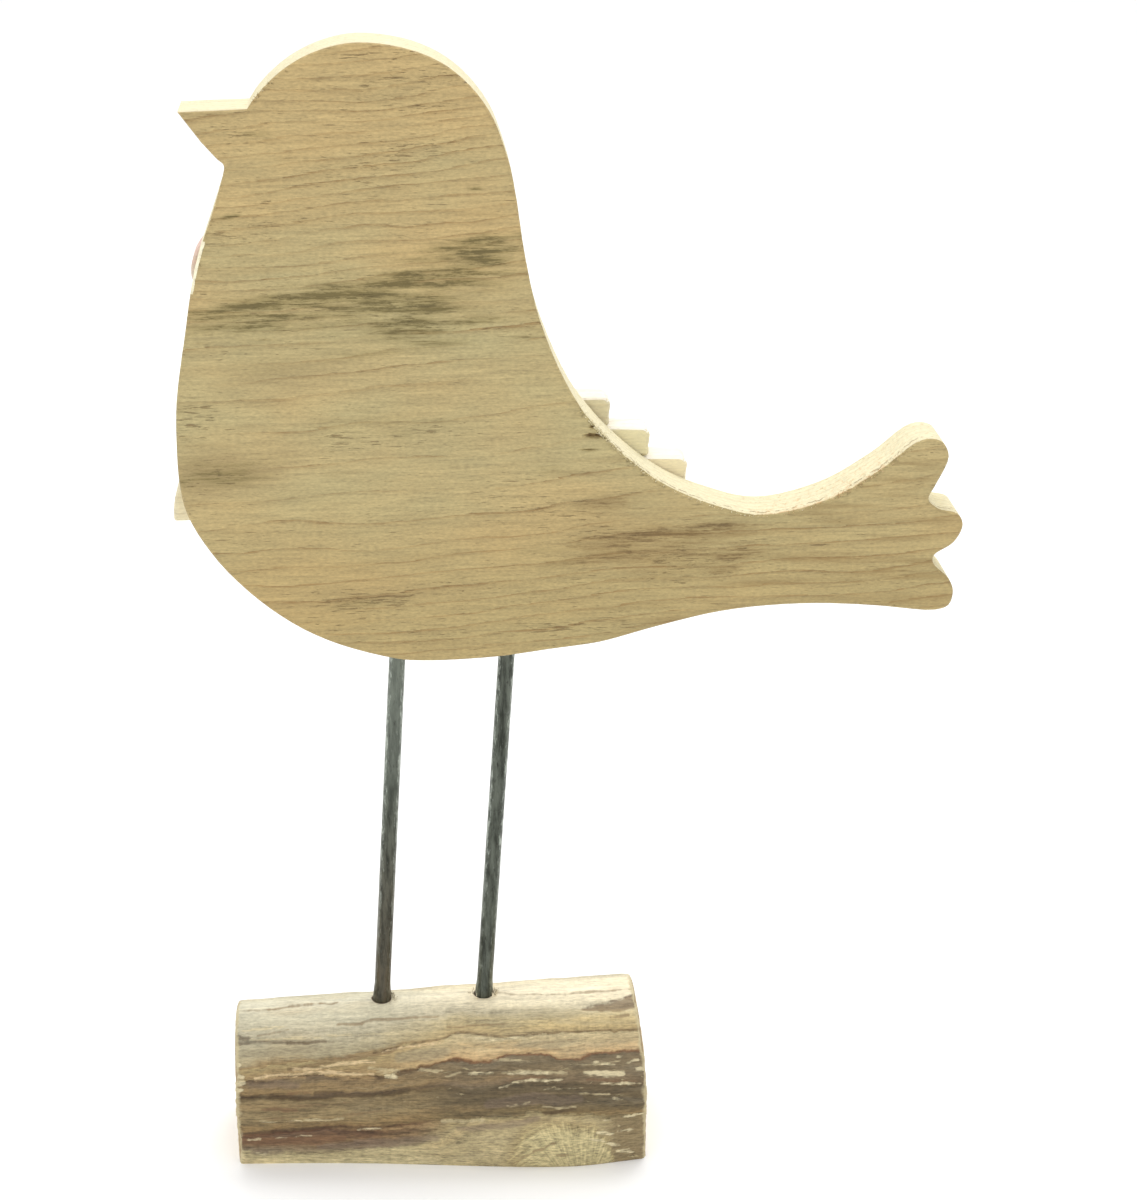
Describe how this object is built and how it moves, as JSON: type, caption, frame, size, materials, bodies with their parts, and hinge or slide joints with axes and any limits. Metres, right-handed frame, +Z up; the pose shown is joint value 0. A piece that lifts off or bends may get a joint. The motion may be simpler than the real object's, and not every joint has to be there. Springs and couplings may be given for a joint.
{
  "type": "wooden bird figure",
  "caption": "Flat bird sawn from a pale wooden board, with a layered lath wing, standing on thin metal rod legs in a short log base.",
  "frame": {"origin": "middle of the log's flat underside, on the surface that the figure stands on", "axes": "+Z up, +X towards the tail, +Y towards the bird's front face with the wing; the board's plain back faces -Y"},
  "size_m": [0.1965, 0.0509, 0.293],
  "materials": {
    "board_wood": "bare flat-sawn pale wood with grey-olive stains",
    "leg_metal": "dark steel rod, mottled and scratched",
    "log_wood": "weathered bare branch with remains of bark",
    "lath_wood": "bare pale wood, sawn and worn",
    "disc_wood": "bare pale wood with a worn pinkish wash"
  },
  "bodies": {
    "root": {"bird_board": "board_wood", "leg_front": "leg_metal", "leg_rear": "leg_metal", "log_base": "log_wood", "wing_lath_upper": "lath_wood", "wing_lath_middle": "lath_wood", "wing_lath_lower": "lath_wood", "breast_disc": "disc_wood"}
  },
  "joints": []
}
